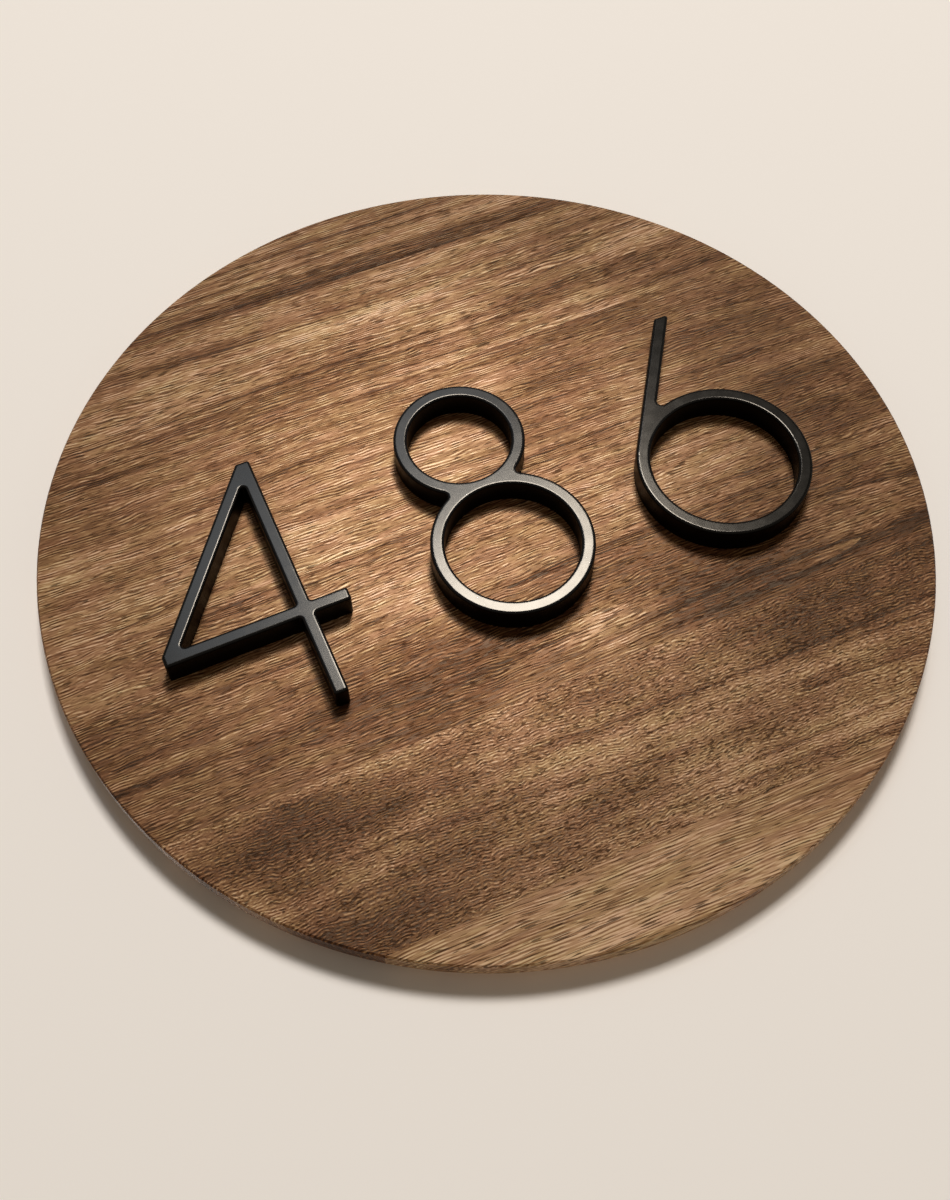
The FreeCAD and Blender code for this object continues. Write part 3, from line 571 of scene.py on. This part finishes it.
def pool(slant, distance, aim, cone, watts, colour):
    """A ring of small spots that light only the middle of the sign, and aren't mirrored in it.

    The aim is a point of the front, in disc radii, and the cone is in degrees.
    """
    count, ring_radius, spot_radius = 6, 0.2, 0.05
    aim = Vector((aim[0] * RADIUS, FRONT, aim[1] * RADIUS))
    middle = stand_off(aim, distance, slant)
    for number in range(count):
        turn = 2 * math.pi * number / count
        data = bpy.data.lights.new("pool_{}".format(number), "SPOT")
        data.spot_size = math.radians(cone)
        data.spot_blend = 1.0
        data.shadow_soft_size = spot_radius
        data.energy = watts / count
        data.color = colour
        place = middle + Vector((math.cos(turn), 0.0, math.sin(turn))) * ring_radius
        hang_light(data, place, aim).visible_glossy = False


def light_studio():
    scene = bpy.context.scene
    world = bpy.data.worlds.new("studio")
    world.use_nodes = True
    background = world.node_tree.nodes["Background"]
    background.inputs["Color"].default_value = (*rgb(250, 236, 214), 1.0)
    background.inputs["Strength"].default_value = 0.18
    scene.world = world
    scene.view_settings.view_transform = "Standard"
    warm, cool, bluish = rgb(255, 248, 239), rgb(240, 246, 255), rgb(222, 236, 255)
    # the key makes the bright band on the 8, and the sheen greys the other faces
    lamp("key", slant=(0.237, 0.42), distance=4.5, size=(1.08, 1.05), watts=172.0, colour=warm)
    lamp("sheen", slant=(0.12, 0.58), distance=4.5, size=(1.70, 1.25), watts=22.0, colour=bluish)
    pool(slant=(0.30, 0.50), distance=3.0, aim=(-0.06, 0.1), cone=5.0, watts=930.0, colour=cool)
    lamp("behind", slant=(-0.3, 0.45), distance=-1.2, size=(1.0, 1.0), watts=2.0, colour=warm, spread=70.0)


def make_camera():
    """The photograph's viewpoint: below the sign and to its left, turned clockwise."""
    azimuth, elevation, roll = (math.radians(angle) for angle in (-12.37, -26.30, 26.65))
    distance = 3.185 * RADIUS
    aim = Vector((-0.101 * RADIUS, FRONT, -0.170 * RADIUS))
    outwards = Vector((
        math.sin(azimuth) * math.cos(elevation),
        -math.cos(azimuth) * math.cos(elevation),
        math.sin(elevation),
    ))
    upright = (-outwards).to_track_quat("-Z", "Y").to_matrix().to_4x4()
    data = bpy.data.cameras.new("camera")
    data.lens = 43.81
    data.sensor_width = 36.0
    camera = bpy.data.objects.new("camera", data)
    camera.matrix_world = (
        Matrix.Translation(aim + outwards * distance) @ upright @ Matrix.Rotation(-roll, 4, "Z")
    )
    bpy.context.scene.collection.objects.link(camera)
    bpy.context.scene.camera = camera


make_camera()
dress_sign()
make_wall()
light_studio()
